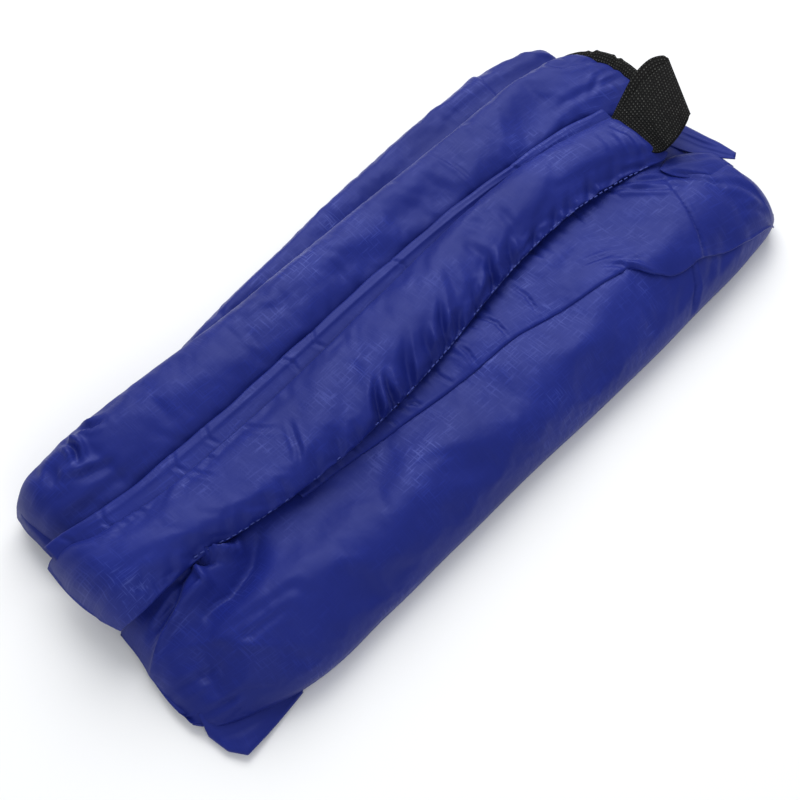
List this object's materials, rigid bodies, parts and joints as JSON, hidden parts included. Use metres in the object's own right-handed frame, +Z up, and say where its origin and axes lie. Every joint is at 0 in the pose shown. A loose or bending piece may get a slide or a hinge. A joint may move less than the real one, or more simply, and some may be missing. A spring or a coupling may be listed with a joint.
{
  "type": "air track mat",
  "caption": "Air track mat of sewn nylon sleeves over air bladders, let down and folded lengthwise into a bundle, with a webbing carry loop.",
  "frame": {"origin": "under the middle of the bundle's box, on the surface it lies on", "axes": "+X along the bundle towards the end with the carry loop, +Y to the left side where the rear sleeve lies, +Z up"},
  "size_m": [0.4411, 0.1957, 0.0634],
  "materials": {
    "sleeve_nylon": "coated royal blue nylon with a fine weave and a soft sheen",
    "webbing": "matte black woven polypropylene webbing",
    "binding_tape": "matte black woven binding tape",
    "thread": "blue polyester sewing thread",
    "bladder_film": "thin translucent grey film",
    "valve_plastic": "moulded black plastic",
    "cap_plastic": "moulded dark grey plastic",
    "seal_rubber": "soft dark rubber"
  },
  "bodies": {
    "folded_mat": {"base_bladder": "bladder_film", "base_sleeve": "sleeve_nylon", "cap_leash": "cap_plastic", "core_bladder": "bladder_film", "core_sleeve": "sleeve_nylon", "edge_band": "sleeve_nylon", "foot_turnback": "sleeve_nylon", "head_tuck": "sleeve_nylon", "head_turnback": "sleeve_nylon", "hem_tail": "sleeve_nylon", "mouth_binding": "binding_tape", "rear_bladder": "bladder_film", "rear_sleeve": "sleeve_nylon", "rear_turnunder": "sleeve_nylon", "right_bladder": "bladder_film", "right_sleeve": "sleeve_nylon", "seam_flap": "sleeve_nylon", "valve_flange": "valve_plastic", "valve_flap": "seal_rubber", "valve_neck": "valve_plastic", "valve_patch": "valve_plastic"},
    "top_fold": {"centre_sleeve": "sleeve_nylon", "centre_bladder": "bladder_film", "loop_tail": "webbing", "loop_stitching": "thread", "seam_stitching": "thread"},
    "left_fold": {"left_sleeve": "sleeve_nylon", "left_bladder": "bladder_film"},
    "handle": {"carry_loop": "webbing"},
    "cap": {"valve_cap": "cap_plastic", "cap_seal": "seal_rubber"}
  },
  "joints": [
    {"name": "top_fold_open", "type": "hinge", "parent": "folded_mat", "child": "top_fold", "pos_m": [0, -0.031, 0.041], "axis": [1, 0, 0], "range_deg": [0, 85]},
    {"name": "left_fold_open", "type": "hinge", "parent": "folded_mat", "child": "left_fold", "pos_m": [0, 0.071, 0.0245], "axis": [-1, 0, 0], "range_deg": [0, 105]},
    {"name": "handle_swing", "type": "hinge", "parent": "top_fold", "child": "handle", "pos_m": [0.181, -0.0095, 0.0434], "axis": [0, 1, 0], "range_deg": [-60, 25]},
    {"name": "valve_cap_turn", "type": "hinge", "parent": "folded_mat", "child": "cap", "pos_m": [0, 0.007, 0.0308], "axis": [0, 0, 1], "range_deg": [0, 90]}
  ]
}
